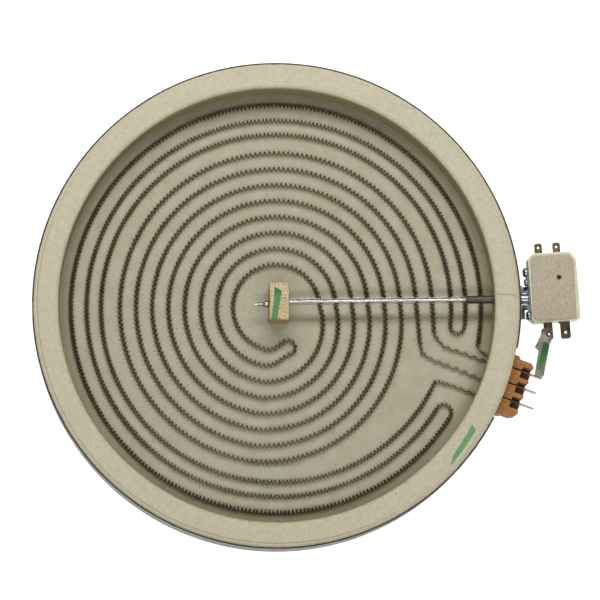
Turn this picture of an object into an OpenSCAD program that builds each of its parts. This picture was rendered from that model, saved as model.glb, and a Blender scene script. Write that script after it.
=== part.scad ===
// Radiant surface element of a glass-ceramic hob, two heating circuits.
// Millimetres. +Z is up, towards the glass. The origin is the middle of the
// pan's underside. +X points at the temperature limiter.

/* [Pan] */
// Outside diameter of the round steel pan
pan_d = 304.8; // [303:0.2:306]
// Height of the pan's wall
pan_h = 33; // [32:0.5:34]
// Thickness of the sheet
sheet = 0.6; // [0.5:0.1:0.7]
// Radius of the pressed corner between floor and wall
pan_corner = 3; // [2:0.5:4]
// Height at which the window for the terminal block begins
window_z = 8; // [6:0.5:9]
// First and last direction of the window, degrees
window_a = [-27.4, -9.9]; // [-40:0.1:0]

/* [Insulation] */
// Height of the base insulation's upper face
base_z = 13; // [12:0.5:13]
// Height of the insulating ring's upper face
ring_z = 35; // [34:0.5:36]
// Inside diameter of the insulating ring
ring_in_d = 271.6; // [270:0.2:273]
// Width of the bevels along the ring's upper edges
ring_bevel = 1.5; // [1:0.1:2]
// Length, width and height of the block that holds the far end of the tube
block = [12.4, 23.8, 21.5]; // [10:0.1:26]

/* [Heating ribbons] */
// Thickness of the ribbon as drawn
ribbon_t = 0.3; // [0.25:0.05:0.35]
// Height of the ribbon, which stands on edge
ribbon_h = 3; // [2.5:0.1:3.5]
// Half the width of the corrugation, at the middle of the ribbon
wave_a = 1.35; // [1:0.05:1.5]
// Length of one wave of the inner ribbon as drawn, twice the real one
wave_in = 5.9; // [5.8:0.05:6.3]
// Length of one wave of the outer ribbon as drawn, twice the real one
wave_out = 4.9; // [4.8:0.05:5.2]
// Radius of the innermost turn
turn_r = 27.2; // [27:0.1:27.4]
// Distance from turn to turn in the inner circuit
turn_p = 10.1; // [10:0.05:10.15]
// Radii of the outer circuit's turns
outer_r = [109.8, 118.8, 128.5]; // [109:0.1:129]

/* [Terminals] */
// Width of the three terminal blades
blade_w = 6.3; // [6.2:0.1:6.4]
// Thickness of the terminal blades
blade_t = 0.8; // [0.7:0.1:0.9]
// Distance from blade to blade
blade_p = 9.8; // [9.6:0.1:10]
// Direction in which the blades point, degrees
blade_a = -20; // [-20.5:0.5:-19.5]

/* [Rod and tube] */
// Diameter of the quartz tube
tube_d = 4; // [3.8:0.1:4.2]
// Diameter of the metal rod inside it
rod_d = 1.8; // [1.6:0.1:2]
// Height of the rod's axis
rod_z = 26; // [25.5:0.5:26]
// Direction of the rod, degrees
rod_a = 0.94; // [0.9:0.02:1]

/* [Limiter] */
// Length of the ceramic housing, along the pan's edge
lim_l = 43; // [42.5:0.5:43.5]
// Width of the ceramic housing, away from the pan
lim_w = 30.2; // [30:0.1:30.5]
// Heights of the housing's lower and upper faces
lim_z = [17, 32]; // [17:0.5:33]
// Thickness of the cover plate
cover_t = 1.5; // [1.2:0.1:1.5]
// Direction in which the housing is turned, degrees
lim_a = 4; // [3.5:0.5:4.5]

/* [Hidden] */
$fn = 64;
eps = 0.01;
pan_r = pan_d / 2;
ring_r = pan_r - sheet - 0.3;       // outside radius of ring and base
ring_in = ring_in_d / 2;
block_c = [1.3, 1.7];               // middle of the centre block
rod_y = 2.08;                       // where the rod's axis crosses X = 0
lim_o = [158.9, 4.7];               // limiter: where the rod enters its face
lim_x = -0.5;                       // face of the housing towards the pan
blade_v = 4.8;                      // middle blade, across the blades
blade_z = 15.5;                     // lower edge of the blades
tail_u = 149;                       // inner ends of the blades
foot_v = blade_v + blade_p + blade_t / 2; // face of the first blade
rivet_p = [10.1, -22.4];             // rivet of the strap, in the limiter
steel = "silver";
zinc = "lightsteelblue";

// ---- frames -------------------------------------------------------------
// Along the rod: x from the pan's axis, cylinders lie along the rod.
module on_rod(x) {
    translate([0, rod_y, rod_z]) rotate([0, 0, rod_a]) translate([x, 0, 0])
        rotate([0, 90, 0]) children();
}
// The limiter: x away from the pan, y along its edge, z up as the part's.
module in_limiter() {
    translate([lim_o[0], lim_o[1], 0]) rotate([0, 0, lim_a]) children();
}
// The terminal block: x along the blades, y across them.
module in_block() { rotate([0, 0, blade_a]) children(); }
function from_block(u, v) = [u * cos(blade_a) - v * sin(blade_a),
                             u * sin(blade_a) + v * cos(blade_a)];

// ---- pan ----------------------------------------------------------------
module pan_section(r, c, z0, z1) {
    translate([0, z0]) square([r - c, z1 - z0]);
    translate([0, z0 + c]) square([r, z1 - z0 - c]);
    translate([r - c, z0 + c]) circle(c);
}
module wedge(a0, a1, z0, z1) {
    translate([0, 0, z0]) linear_extrude(z1 - z0)
        polygon([[0, 0], 200 * [cos(a0), sin(a0)],
                 200 * [cos((a0 + a1) / 2), sin((a0 + a1) / 2)],
                 200 * [cos(a1), sin(a1)]]);
}
module pan() color("dimgray") difference() {
    rotate_extrude($fn = 180) intersection() {
        difference() {
            pan_section(pan_r, pan_corner, 0, pan_h);
            pan_section(pan_r - sheet, pan_corner - sheet, sheet, pan_h + 5);
        }
        square([pan_r + 5, pan_h]);
    }
    wedge(window_a[0], window_a[1], window_z, pan_h + 1);
    translate([-pan_r - 1, -8.6, 28]) cube([3, 9.4, 10]);
    on_rod(pan_r - 4) cylinder(d = 7.2, h = 8);
}

// ---- insulation ---------------------------------------------------------
module base_insulation() color("tan") rotate_extrude($fn = 180)
    polygon([[0, sheet], [ring_r - 3.2, sheet], [ring_r, 3.2 + sheet],
             [ring_r, base_z], [0, base_z]]);

module ring_insulation() color("wheat") difference() {
    rotate_extrude($fn = 180)
        polygon([[ring_in, base_z], [ring_r, base_z],
                 [ring_r, ring_z - ring_bevel], [ring_r - ring_bevel, ring_z],
                 [ring_in + ring_bevel, ring_z],
                 [ring_in, ring_z - ring_bevel]]);
    on_rod(ring_in - 5) cylinder(d = 5.4, h = 30);
    // slots under the ring for the three leads
    in_block() {
        translate([126, 12, base_z - 1]) cube([30, 6.4, 6.2]);
        translate([126, 1.2, base_z - 1]) cube([30, 4.8, 6.2]);
        translate([126, -10.4, base_z - 1]) cube([30, 6.6, 6.2]);
    }
    // room for the blades' inner ends
    for (i = [-1:1]) in_block()
        translate([tail_u - 0.6, blade_v + i * blade_p - 1, base_z - 1])
            cube([8, 2, 10]);
}

module centre_block() color("burlywood") difference() {
    translate([block_c[0] - block[0] / 2, block_c[1] - block[1] / 2, base_z])
        cube(block);
    on_rod(-1.5) cylinder(d = tube_d + 0.3, h = 12);
    on_rod(-8) cylinder(d = 5.6, h = 6.6);
}

// ---- heating ribbons ----------------------------------------------------
// A ribbon is a zigzag along a line. Each point of the line is
// [x, y, half width of the zigzag there].
function dir(p, i) = let (a = p[max(i - 1, 0)], b = p[min(i + 1, len(p) - 1)],
                          d = [b[0] - a[0], b[1] - a[1]]) d / norm(d);
function side(p, i, s) = let (d = dir(p, i), q = 2 * (i % 2) - 1,
    m = p[i][2] * q + s * ribbon_t * (p[i][2] > 0.2 ? 1.02 : 0.5))
    [p[i][0] - d[1] * m, p[i][1] + d[0] * m];
module ribbon(p) translate([0, 0, base_z]) linear_extrude(ribbon_h)
    polygon(concat([for (i = [0:len(p) - 1]) side(p, i, 1)],
                   [for (i = [len(p) - 1:-1:0]) side(p, i, -1)]));
// points h apart on a line, on an arc about c, and on a quadratic curve
function line(a, b, h, w) = let (n = max(1, round(norm(b - a) / h)))
    [for (i = [0:n - 1]) let (q = a + (b - a) * i / n) [q[0], q[1], w]];
function arc(c, r, a0, a1, n, w) =
    [for (i = [0:n]) let (a = a0 + (a1 - a0) * i / n)
        [c[0] + r * cos(a), c[1] + r * sin(a), w]];
function bend(a, b, c, n, w) = [for (i = [0:n - 1]) let (t = i / n,
    q = (1 - t) * (1 - t) * a + 2 * t * (1 - t) * b + t * t * c)
    [q[0], q[1], w]];
function pol(r, a) = [r * cos(a), r * sin(a)];
function flip(p) = [for (i = [len(p) - 1:-1:0]) p[i]];

// Inner circuit: two strands side by side, each with round turns over 262
// degrees and a step of two turns inwards over the other 98.
function step_in(f) = f < 260 ? 0
    : let (s = (f - 260) / 100) s - 0.035 * sin(360 * s);
function turn(k, a) = let (n = floor((a - 2) / 360), f = a - 2 - 360 * n,
    j = k - 2 * n)
    a < 2 ? turn_r + turn_p * k + (k == 7 ? 5 : 6) * pow((2 - a) / 18, 1.6)
    : j < 2 ? turn_r + turn_p * j
        - (f < 255 ? 0 : (j == 1 ? 6.6 : 5.2) * (1 - cos(min(f - 255, 30) * 6)) / 2)
    : turn_r + turn_p * (j - 2 * step_in(f));
function strand(k, a0, a1, h) = [for (a = a0; a < a1 - 1.6;
    a = a + h / turn(k, a) * 57.2958) [turn(k, a) * cos(a),
    turn(k, a) * sin(a), wave_a]];
hair_a = 1080 + 287;                // where the two strands join
hair_r = turn_r + turn_p / 2 - 5.9;
lead_a = from_block(102.6, 14.2);   // bends into the leads
lead_b = from_block(95, 5);
inner_path = concat(
    line(from_block(tail_u - 0.2, 14.6), from_block(107, 14.2), 1.9, 0.8),
    bend(from_block(107, 14.2), lead_a, pol(turn(7, -9), -9), 6, 0.5),
    strand(7, -9, hair_a, wave_in / 2),
    arc(pol(hair_r, hair_a), turn_p / 2 - 0.7, hair_a, hair_a + 180, 10, 1.1),
    flip(strand(6, -12, hair_a, wave_in / 2)),
    bend(pol(turn(6, -13), -13), lead_b, from_block(100, 4.7), 6, 0.5),
    line(from_block(100, 4.7), from_block(136, 3), 1.9, 0.8),
    line(from_block(136, 3), from_block(tail_u - 0.2, 4.8), 2.2, 0.5),
    [concat(from_block(tail_u - 0.2, 4.8), 0.5)]);
module inner_ribbon() color("saddlebrown") ribbon(inner_path);

// Outer circuit: three turns joined by two hairpins.
function ring(r, a0, a1) = let (n = round(abs(a1 - a0) * r / 57.2958
    / (wave_out / 2))) [for (i = [0:n - 1]) let (a = a0 + (a1 - a0) * i / n)
    [r * cos(a), r * sin(a), wave_a]];
hair_1 = [(outer_r[2] + outer_r[1]) / 2, (outer_r[2] - outer_r[1]) / 2, 328];
hair_2 = [(outer_r[1] + outer_r[0]) / 2, (outer_r[1] - outer_r[0]) / 2, -5.8];
outer_path = concat(
    line(from_block(tail_u - 0.2, 16.2), from_block(136, 16.6), 3, 0),
    line(from_block(136, 16.6), pol(outer_r[2], -10.4), 1.5, 0.1),
    ring(outer_r[2], -9.8, hair_1[2]),
    arc(pol(hair_1[0], hair_1[2]), hair_1[1], hair_1[2], hair_1[2] + 180, 12, 1.1),
    ring(outer_r[1], hair_1[2] - 0.6, hair_2[2] + 0.6),
    arc(pol(hair_2[0], hair_2[2]), hair_2[1], hair_2[2], hair_2[2] - 180, 12, 1.1),
    ring(outer_r[0], hair_2[2] + 0.6, 331),
    bend(pol(outer_r[0], 331), from_block(109.2, -10.2),
         from_block(114, -10), 6, 0.5),
    line(from_block(114, -10), from_block(136, -8.4), 1.9, 0.8),
    line(from_block(136, -8.4), from_block(tail_u - 0.2, -5), 2.2, 0.5),
    [concat(from_block(tail_u - 0.2, -5), 0.5)]);
module outer_ribbon() color("sienna") ribbon(outer_path);

// ---- terminals ----------------------------------------------------------
module terminal_block() color("chocolate") in_block() difference() {
    translate([0, 0, window_z]) linear_extrude(16) {
        polygon([[148, -14.8], [160, -14.8], [162.8, -13.4], [164.2, -11.6],
                 [164.2, 19], [161.8, 21], [154.3, 21], [153.4, 22.7],
                 [148, 22.7]]);
        polygon([[148, -15.8], [153, -15.8], [155.4, -14.7], [148, -14.7]]);
    }
    translate([0, 0, window_z - 1]) cylinder(r = ring_r + 0.2, h = 40, $fn = 180);
    for (i = [-1:1]) {
        // pocket round each blade, open outwards and upwards
        translate([157.7, blade_v - 0.8 + i * blade_p - 3.5, 12])
            cube([10, 7, 20]);
        // slot through which the blade leaves the pan
        translate([150, blade_v + i * blade_p - blade_t / 2 - 0.1, blade_z - 0.1])
            cube([9, blade_t + 0.2, 20]);
        // bevelled corners of the ribs
        for (s = [-1, 1])
            translate([164.2, blade_v - 0.8 + i * blade_p + s * 3.5, window_z + 4])
                rotate([0, 0, 45]) cube([1.4, 1.4, 40], center = true);
    }
}
module blade(i, tip) in_block() difference() {
    translate([tail_u, blade_v + i * blade_p - blade_t / 2, blade_z])
        cube([tip - tail_u, blade_t, blade_w]);
    // tapered tip
    for (s = [0, 1]) translate([tip, blade_v + i * blade_p, blade_z + s * blade_w])
        rotate([0, 45, 0]) cube([1.6, 4, 1.6], center = true);
    // latching hole
    translate([tip - 3.6, blade_v + i * blade_p, blade_z + blade_w / 2])
        rotate([90, 0, 0]) cylinder(d = 1.8, h = 4, center = true);
}
module blade_1() color(steel) blade(1, 171.3);
module blade_2() color(steel) blade(0, 171.2);
module blade_3() color(steel) blade(-1, 173);

// ---- rod and tube -------------------------------------------------------
module quartz_tube() color("aliceblue") difference() {
    on_rod(0.5) cylinder(d = tube_d, h = 162.3 - 0.5);
    on_rod(0) cylinder(d = 2.4, h = 170);
}
module expansion_rod() color("dimgray") {
    on_rod(-0.9) cylinder(d = rod_d, h = 165.6);
    // the far end is cranked to one side
    translate([-0.5, rod_y + 0.1, rod_z]) rotate([0, 0, 24])
        rotate([0, -90, 0]) cylinder(d = 1.4, h = 4.1);
    far_end() cylinder(d = 1.4, h = 10.3);
}
// The cranked far end: z runs outwards from inside the centre block.
module far_end() translate([-3.8, 0.78, rod_z]) rotate([0, 0, 2])
    rotate([0, -90, 0]) children();
module end_ferrule() color("gray") far_end() difference() {
    union() {
        translate([0, 0, 1.2]) cylinder(d = 4.2, h = 2.6);
        translate([0, 0, 3.8 - eps]) cylinder(d1 = 3.4, d2 = 2.4, h = 1.4 + eps);
        translate([0, 0, 5.2 - eps]) cylinder(d = 2.4, h = 3);
    }
    translate([0, 0, -1]) cylinder(d = 1.42, h = 20);
}
module tube_sleeve() color("darkslategray") difference() {
    union() {
        on_rod(118) cylinder(d = 5, h = 34.4);
        on_rod(135) cylinder(d = 6, h = 0.7);
    }
    on_rod(117) cylinder(d = tube_d + 0.1, h = 60);
}
module guide_bush() color(zinc) difference() {
    union() {
        on_rod(150.9 + 1.5 + 0.02) cylinder(d = 6.8, h = 4.9);
        on_rod(151.6) cylinder(d = 6.2, h = 6.5);
    }
    on_rod(150) cylinder(d = 5.1, h = 2.4 + 0.02);
    on_rod(150) cylinder(d = tube_d + 0.1, h = 20);
}

// ---- limiter outside ----------------------------------------------------
module lim_outline() polygon([
    [lim_x, -13.7], [lim_x + 1.5, -15.2], [lim_w - 1.6, -15.2],
    [lim_w - 0.5, -14.1], [lim_w - 0.5, lim_l - 20.6],
    [lim_w - 4.3, lim_l - 15.2], [2.4, lim_l - 15.2],
    [lim_x, lim_l - 18.4]]);
module limiter_body() color("antiquewhite") difference() {
    in_limiter() difference() {
        translate([0, 0, lim_z[0]]) linear_extrude(lim_z[1] - lim_z[0])
            lim_outline();
        translate([0, 0, lim_z[0] + 3.5]) linear_extrude(20) polygon([
            [2.5, -12.6], [26.7, -12.6], [26.7, 21.5],
            [24.3, 24.8], [3.8, 24.8], [2.5, 23.6]]);
        // slots for the four tabs
        translate([7.15 - 2.5, 20, 24.55]) cube([5, 10, 0.9]);
        translate([18.55 - 2.5, 20, 24.55]) cube([5, 10, 0.9]);
        translate([7, -20, 21.55]) cube([5.8, 10, 0.9]);
        translate([20.65 - 3.25, -20, 21.55]) cube([6.5, 10, 0.9]);
        // holes for the bracket screws
        for (y = [16.6, -10.6]) translate([-1, y, 27]) rotate([0, 90, 0])
            cylinder(d = 2.9, h = 2.8);
    }
    on_rod(157) cylinder(d = tube_d + 0.4, h = 12);
}
module cover_plate(h) translate([13.9, 5.7, 0]) rotate([0, 0, -1.4])
    linear_extrude(h) polygon([
        [-13.3, -18.3], [-11.6, -20], [12.9, -20], [13.4, -19.5],
        [13.4, 17], [10.8, 20.1], [-11.3, 20.1], [-13.3, 18.4]]);
module limiter_cover() color("rosybrown") in_limiter() difference() {
    translate([0, 0, lim_z[1]]) cover_plate(cover_t);
    translate([17.9, 11.75, lim_z[1] - 1]) cylinder(d = 2.62, h = 5);
}
module cover_eyelet() color("peru") in_limiter() difference() {
    union() {
        translate([17.9, 11.75, lim_z[1] - 0.6]) cylinder(d = 2.6, h = cover_t + 0.6);
        translate([17.9, 11.75, lim_z[1] + cover_t]) cylinder(d = 3.2, h = 0.3);
        translate([17.9, 11.75, lim_z[1] - 0.9]) cylinder(d = 3.4, h = 0.9);
    }
    translate([17.9, 11.75, lim_z[1] - 2]) cylinder(d = 1.7, h = 5);
}

// One folded sheet: a back plate on the housing, two shelves and two feet
// that lie against the pan's wall.
module limiter_bracket() color(zinc) difference() {
    union() {
        in_limiter() {
            translate([lim_x - 1, -13.5, 19]) cube([1, 34, 11.5]);
            translate([-5.9, 3.7, 27.2]) cube([5, 3.9, 1]);
            translate([-6.6, -7, 27.2]) cube([5.7, 3.4, 1]);
            translate([-6.6, -12.6, 27.2]) cube([2, 6, 1]);
        }
        rotate([0, 0, 3.8]) translate([pan_r + 0.02, -1.8, 16])
            cube([1.2, 4.3, 12.2]);
        rotate([0, 0, -1.45]) translate([pan_r + 0.02, -4.5, 16])
            cube([1.2, 9, 12.2]);
    }
    on_rod(154) cylinder(d = 7, h = 8);
    in_limiter() for (y = [16.6, 10.3, -10.6])
        translate([-4, y, 27]) rotate([0, 90, 0]) cylinder(d = 3.1, h = 6);
}
module pan_head(d, h, shank, l) rotate([0, -90, 0]) difference() {
    union() {
        cylinder(d = d, h = h * 0.45);
        translate([0, 0, h * 0.45 - eps])
            cylinder(d1 = d, d2 = d * 0.62, h = h * 0.55 + eps);
        translate([0, 0, -l]) cylinder(d = shank, h = l + eps);
    }
    for (a = [0, 90]) rotate([0, 0, a]) translate([-1.5, -0.3, h - 0.9])
        cube([3, 0.6, 3]);
}
module bracket_screws() color(zinc) in_limiter()
    for (y = [16.6, -10.6]) translate([lim_x - 1, y, 27])
        pan_head(6.4, 2.4, 2.8, 3.2);
module bracket_rivet() color(zinc) in_limiter() difference() {
    translate([lim_x - 1, 10.3, 27]) rotate([0, -90, 0]) {
        cylinder(d = 4.8, h = 1.2);
        translate([0, 0, 1.2 - eps]) cylinder(d1 = 4.8, d2 = 3.2, h = 0.8);
        translate([0, 0, -0.98]) cylinder(d = 3, h = 1);
    }
    translate([-5.5, 10.3, 27]) rotate([0, 90, 0]) cylinder(d = 1.5, h = 3.4);
}

// ---- limiter tabs -------------------------------------------------------
// A flat tab with a bevelled end and a hole; x is its middle, t its tip.
module tab(x, w, root, t, z, hole) {
    s = t > root ? 1 : -1;
    difference() {
        translate([0, 0, z]) linear_extrude(blade_t) polygon([
            [x - w / 2, root], [x + w / 2, root], [x + w / 2, t - s * 0.9],
            [x + w / 2 - 0.9, t], [x - w / 2 + 0.9, t],
            [x - w / 2, t - s * 0.9]]);
        translate([x, t - s * hole[1], z - 1]) cylinder(d = hole[0], h = 3);
    }
}
module signal_tab_a() color("olivedrab") in_limiter() {
    tab(7.15, 4.8, 19.6, 34.8, 24.6, [1.5, 2.8]);
    translate([9, 19.6, 24.6]) cube([1.4, 3.8, 0.8]);
    translate([9.6, 19.6, 24.6]) cube([0.8, 3.8, 4.8]);
}
module signal_tab_b() color("olivedrab") in_limiter() {
    tab(18.55, 4.8, 14, 34.7, 24.6, [1.5, 2.8]);
    translate([14.4, -5, 24.6]) cube([2.6, 20, 0.8]);
    translate([14.4, -5, 25.4 - eps]) cube([0.8, 5, 4.2]);
}
module power_tab_a() color("olivedrab") in_limiter() difference() {
    union() {
        translate([7.1, -25.5, 21.6]) cube([5.6, 16.5, 0.8]);
        translate([9.6, -12.5, 21.6]) cube([0.8, 3.5, 4]);
    }
    translate([rivet_p[0], rivet_p[1], 20]) cylinder(d = 2.6, h = 4);
}
module power_tab_b() color("olivedrab") in_limiter() {
    tab(20.65, 6.3, -11, -25.9, 21.6, [1.6, 4]);
    translate([16.5, -16.2, 21.6]) cube([2, 1.1, 0.8]);
    translate([19, -12, 21.6]) cube([4.8, 28.6, 0.8]);
    translate([7.2, 13.6, 21.6]) cube([14, 3, 0.8]);
    translate([7.2, 9.8, 21.6]) cube([0.8, 6.8, 4.4]);
}
module contact(d, h) rotate([0, 90, 0]) {
    cylinder(d = d, h = h * 0.6);
    translate([0, 0, h * 0.6 - eps]) cylinder(d1 = d, d2 = d * 0.7, h = h * 0.4 + eps);
}
module signal_fixed_contact() color(steel) in_limiter()
    translate([14.4, -3, 28.2]) mirror([1, 0, 0]) contact(2, 1.25);
module power_fixed_contact() color(steel) in_limiter()
    translate([8, 11.6, 24]) contact(2.6, 1);

// Strap that joins the limiter to the first blade, with a foot that is
// welded flat against the blade.
module link_strap() color("lightslategray") difference() {
    union() {
        translate([0, 0, 22.42]) linear_extrude(0.6) polygon([
            [165.9, -13.9], [168, -12.9], [172.4, -12.6], [172.6, -19.8],
            [170.9, -23.4], [169.4, -31], [167, -43.1],
            from_block(171.1, foot_v), from_block(166.1, foot_v),
            [163.9, -27.4], [161.4, -25.4], [165.3, -17.4]]);
        in_block() translate([166.1, foot_v, 16.4]) cube([5, 0.6, 6.62]);
    }
    in_limiter() translate([rivet_p[0], rivet_p[1], 20]) cylinder(d = 2.6, h = 6);
}
module strap_rivet() color("peru") in_limiter() difference() {
    translate([rivet_p[0], rivet_p[1], 0]) {
        translate([0, 0, 21.1]) cylinder(d = 4, h = 0.5);
        translate([0, 0, 21.2]) cylinder(d = 2.56, h = 2);
        translate([0, 0, 23.02]) cylinder(d = 4, h = 0.5);
    }
    translate([rivet_p[0], rivet_p[1], 20]) cylinder(d = 1.4, h = 5);
}

// ---- limiter inside -----------------------------------------------------
// Coil spring round the plunger's stem, one swept tube.
turns = 4;
coil_n = 16;
module compression_spring() color(steel) in_limiter() {
    r = 3.5; w = 0.35; x0 = 3; x1 = 8.1; m = 8; n = turns * coil_n;
    pts = [for (i = [0:n]) for (j = [0:m - 1]) let (a = i * 360 / coil_n,
        q = r + w * cos(j * 360 / m))
        [x0 + (x1 - x0) * i / n + w * sin(j * 360 / m), q * cos(a), q * sin(a)]];
    translate([0, 0, rod_z]) polyhedron(pts, concat(
        [for (i = [0:n - 1]) for (j = [0:m - 1]) let (k = (j + 1) % m)
            [i * m + j, i * m + k, (i + 1) * m + k, (i + 1) * m + j]],
        [[for (j = [m - 1:-1:0]) j]], [[for (j = [0:m - 1]) n * m + j]]));
}
module plunger() color("white") in_limiter() translate([0, 0, rod_z])
    rotate([0, 90, 0]) {
        translate([0, 0, 5.9]) cylinder(d = 4.6, h = 2.8);
        translate([0, 0, 8.6]) cylinder(d = 9, h = 1.2);
        // upright ridge that meets both leaves
        translate([-3.7, -0.6, 9.7]) cube([7.4, 1.2, 0.6]);
    }
module signal_leaf() color("gold") in_limiter()
    translate([10.5, -4.2, 26.8]) cube([0.4, 26.2, 3]);
module signal_moving_contact() color(steel) in_limiter()
    translate([10.9, -3, 28.2]) contact(2, 1);
module power_leaf() color("goldenrod") in_limiter()
    translate([10.5, -11, 22.6]) cube([0.4, 24.1, 3]);
module power_moving_contact() color(steel) in_limiter()
    translate([10.5, 11.6, 24]) mirror([1, 0, 0]) contact(2.6, 1.4);

pan();
base_insulation();
ring_insulation();
inner_ribbon();
outer_ribbon();
centre_block();
terminal_block();
blade_1();
blade_2();
blade_3();
quartz_tube();
expansion_rod();
end_ferrule();
tube_sleeve();
guide_bush();
limiter_bracket();
bracket_screws();
bracket_rivet();
limiter_body();
limiter_cover();
cover_eyelet();
signal_tab_a();
signal_tab_b();
power_tab_a();
power_tab_b();
signal_fixed_contact();
power_fixed_contact();
link_strap();
strap_rivet();
compression_spring();
plunger();
signal_leaf();
signal_moving_contact();
power_leaf();
power_moving_contact();
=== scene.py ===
"""Looks of the radiant surface element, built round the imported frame.

Metres, +Z up, origin in the middle of the pan's underside. Lengths in the
tables below are millimetres.
"""
import math

import bmesh
import bpy
import numpy as np
from mathutils import Matrix, Vector, noise


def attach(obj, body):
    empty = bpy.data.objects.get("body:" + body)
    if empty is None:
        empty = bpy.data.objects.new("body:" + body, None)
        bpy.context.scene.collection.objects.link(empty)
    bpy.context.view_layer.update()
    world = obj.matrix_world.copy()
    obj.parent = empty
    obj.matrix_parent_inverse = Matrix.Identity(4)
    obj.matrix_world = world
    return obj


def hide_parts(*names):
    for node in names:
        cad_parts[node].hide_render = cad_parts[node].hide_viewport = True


MM = 0.001
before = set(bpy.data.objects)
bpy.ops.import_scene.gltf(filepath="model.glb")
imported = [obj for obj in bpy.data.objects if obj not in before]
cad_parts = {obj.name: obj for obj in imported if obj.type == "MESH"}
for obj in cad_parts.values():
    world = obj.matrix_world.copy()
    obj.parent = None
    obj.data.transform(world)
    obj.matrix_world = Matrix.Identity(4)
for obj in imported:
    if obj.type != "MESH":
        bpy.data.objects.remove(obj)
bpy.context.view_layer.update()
scene = bpy.context.scene

# Sizes shared with the CAD model, in millimetres.
BASE_Z, RING_Z = 13.0, 35.0
RING_IN, RING_OUT = 135.8, 151.5
BLADE_A = -20.0
TURN_R, TURN_P = 27.2, 10.1
OUTER_R = (109.8, 118.8, 128.5)
ROD_Y, ROD_Z, ROD_A = 2.08, 26.0, 0.94
LIM_O, LIM_A = (158.9, 4.7), 4.0


# ---------------------------------------------------------------- frames
def rot(a):
    a = math.radians(a)
    return np.array([[math.cos(a), -math.sin(a)], [math.sin(a), math.cos(a)]])


def from_block(u, v):
    return rot(BLADE_A) @ np.array([u, v], float)


def in_limiter(x, y):
    return np.array(LIM_O) + rot(LIM_A) @ np.array([x, y], float)


def pol(r, a):
    a = math.radians(a)
    return np.array([r * math.cos(a), r * math.sin(a)])


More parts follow.
